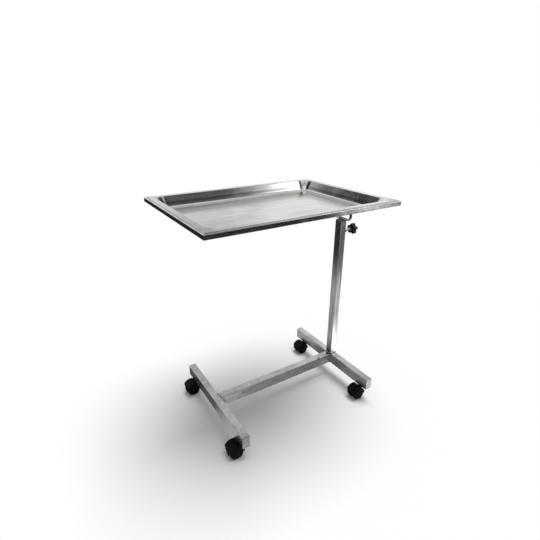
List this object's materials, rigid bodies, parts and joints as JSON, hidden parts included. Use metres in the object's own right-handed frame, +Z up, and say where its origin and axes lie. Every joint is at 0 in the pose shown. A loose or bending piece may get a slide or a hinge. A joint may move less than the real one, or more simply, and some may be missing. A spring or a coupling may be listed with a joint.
{
  "type": "instrument stand",
  "caption": "Wheeled instrument stand: a lift-off steel tray in a mitred frame on one offset telescopic mast, over a low rail base on swivelling casters.",
  "frame": {"origin": "on the floor, below the centre of the box around the whole stand", "axes": "+Z up; +X towards the mast and its knob, -X towards the tray's free end; +Y towards the right hand of a person who stands behind the mast"},
  "size_m": [0.754, 0.505, 0.8283],
  "materials": {
    "base_steel": "ground stainless tube with scratches",
    "mast_steel": "ground stainless tube, grain along its length",
    "post_steel": "smooth bright stainless",
    "frame_steel": "polished stainless tube",
    "tray_steel": "drawn stainless sheet, satin",
    "bright_steel": "bright plated",
    "guide_nylon": "black nylon",
    "knob_plastic": "moulded black plastic, slight sheen",
    "caster_plastic": "moulded black nylon",
    "wheel_plastic": "moulded black nylon, dusty tread"
  },
  "bodies": {
    "base": {"front_foot": "base_steel", "rear_foot": "base_steel", "base_rail": "base_steel", "foot_end_plates": "base_steel", "stem_sockets": "bright_steel", "mast_tube": "mast_steel", "mast_bush": "guide_nylon", "clamp_nut": "mast_steel", "stem_grip_rings": "bright_steel", "caster_stem_front_left": "bright_steel", "caster_stem_front_right": "bright_steel", "caster_stem_rear_left": "bright_steel", "caster_stem_rear_right": "bright_steel"},
    "post": {"inner_post": "post_steel", "post_cap": "post_steel", "post_glide": "guide_nylon", "yoke_bar": "post_steel", "frame_front_rail": "frame_steel", "frame_rear_rail": "frame_steel", "frame_left_rail": "frame_steel", "frame_right_rail": "frame_steel"},
    "tray": {"tray": "tray_steel"},
    "clamp_pad": {"thrust_pad": "guide_nylon"},
    "clamp_knob": {"clamp_screw": "bright_steel", "star_knob": "knob_plastic"},
    "caster_front_left": {"caster_hood_front_left": "caster_plastic", "caster_axle_front_left": "bright_steel"},
    "wheel_front_left_inner": {"wheel_front_left_inner": "wheel_plastic"},
    "wheel_front_left_outer": {"wheel_front_left_outer": "wheel_plastic"},
    "caster_front_right": {"caster_hood_front_right": "caster_plastic", "caster_axle_front_right": "bright_steel"},
    "wheel_front_right_inner": {"wheel_front_right_inner": "wheel_plastic"},
    "wheel_front_right_outer": {"wheel_front_right_outer": "wheel_plastic"},
    "caster_rear_left": {"caster_hood_rear_left": "caster_plastic", "caster_axle_rear_left": "bright_steel"},
    "wheel_rear_left_inner": {"wheel_rear_left_inner": "wheel_plastic"},
    "wheel_rear_left_outer": {"wheel_rear_left_outer": "wheel_plastic"},
    "caster_rear_right": {"caster_hood_rear_right": "caster_plastic", "caster_axle_rear_right": "bright_steel"},
    "wheel_rear_right_inner": {"wheel_rear_right_inner": "wheel_plastic"},
    "wheel_rear_right_outer": {"wheel_rear_right_outer": "wheel_plastic"}
  },
  "joints": [
    {"name": "mast_height", "type": "slide", "parent": "base", "child": "post", "axis": [0, 0, 1], "range_m": [0, 0.35]},
    {"name": "tray_lift_off", "type": "slide", "parent": "post", "child": "tray", "axis": [0, 0, 1], "range_m": [0, 0.12]},
    {"name": "clamp_pad_travel", "type": "slide", "parent": "base", "child": "clamp_pad", "axis": [1, 0, 0], "range_m": [0, 0.003]},
    {"name": "clamp_knob_turn", "type": "hinge", "parent": "clamp_pad", "child": "clamp_knob", "pos_m": [0.367, 0, 0.6625], "axis": [1, 0, 0], "range_deg": [0, 720]},
    {"name": "swivel_front_left", "type": "hinge", "parent": "base", "child": "caster_front_left", "pos_m": [-0.263, -0.19, 0.04], "axis": [0, 0, 1], "continuous": true},
    {"name": "spin_front_left_inner", "type": "hinge", "parent": "caster_front_left", "child": "wheel_front_left_inner", "pos_m": [-0.287, -0.19, 0.025], "axis": [0, 1, 0], "continuous": true},
    {"name": "spin_front_left_outer", "type": "hinge", "parent": "caster_front_left", "child": "wheel_front_left_outer", "pos_m": [-0.287, -0.19, 0.025], "axis": [0, 1, 0], "continuous": true},
    {"name": "swivel_front_right", "type": "hinge", "parent": "base", "child": "caster_front_right", "pos_m": [-0.263, 0.19, 0.04], "axis": [0, 0, 1], "continuous": true},
    {"name": "spin_front_right_inner", "type": "hinge", "parent": "caster_front_right", "child": "wheel_front_right_inner", "pos_m": [-0.287, 0.19, 0.025], "axis": [0, 1, 0], "continuous": true},
    {"name": "spin_front_right_outer", "type": "hinge", "parent": "caster_front_right", "child": "wheel_front_right_outer", "pos_m": [-0.287, 0.19, 0.025], "axis": [0, 1, 0], "continuous": true},
    {"name": "swivel_rear_left", "type": "hinge", "parent": "base", "child": "caster_rear_left", "pos_m": [0.302, -0.19, 0.04], "axis": [0, 0, 1], "continuous": true},
    {"name": "spin_rear_left_inner", "type": "hinge", "parent": "caster_rear_left", "child": "wheel_rear_left_inner", "pos_m": [0.278, -0.19, 0.025], "axis": [0, 1, 0], "continuous": true},
    {"name": "spin_rear_left_outer", "type": "hinge", "parent": "caster_rear_left", "child": "wheel_rear_left_outer", "pos_m": [0.278, -0.19, 0.025], "axis": [0, 1, 0], "continuous": true},
    {"name": "swivel_rear_right", "type": "hinge", "parent": "base", "child": "caster_rear_right", "pos_m": [0.302, 0.19, 0.04], "axis": [0, 0, 1], "continuous": true},
    {"name": "spin_rear_right_inner", "type": "hinge", "parent": "caster_rear_right", "child": "wheel_rear_right_inner", "pos_m": [0.278, 0.19, 0.025], "axis": [0, 1, 0], "continuous": true},
    {"name": "spin_rear_right_outer", "type": "hinge", "parent": "caster_rear_right", "child": "wheel_rear_right_outer", "pos_m": [0.278, 0.19, 0.025], "axis": [0, 1, 0], "continuous": true}
  ],
  "couplings": [
    {"joint": "clamp_knob_turn", "follows": "clamp_pad_travel", "rad_per_m": 4188.8}
  ]
}
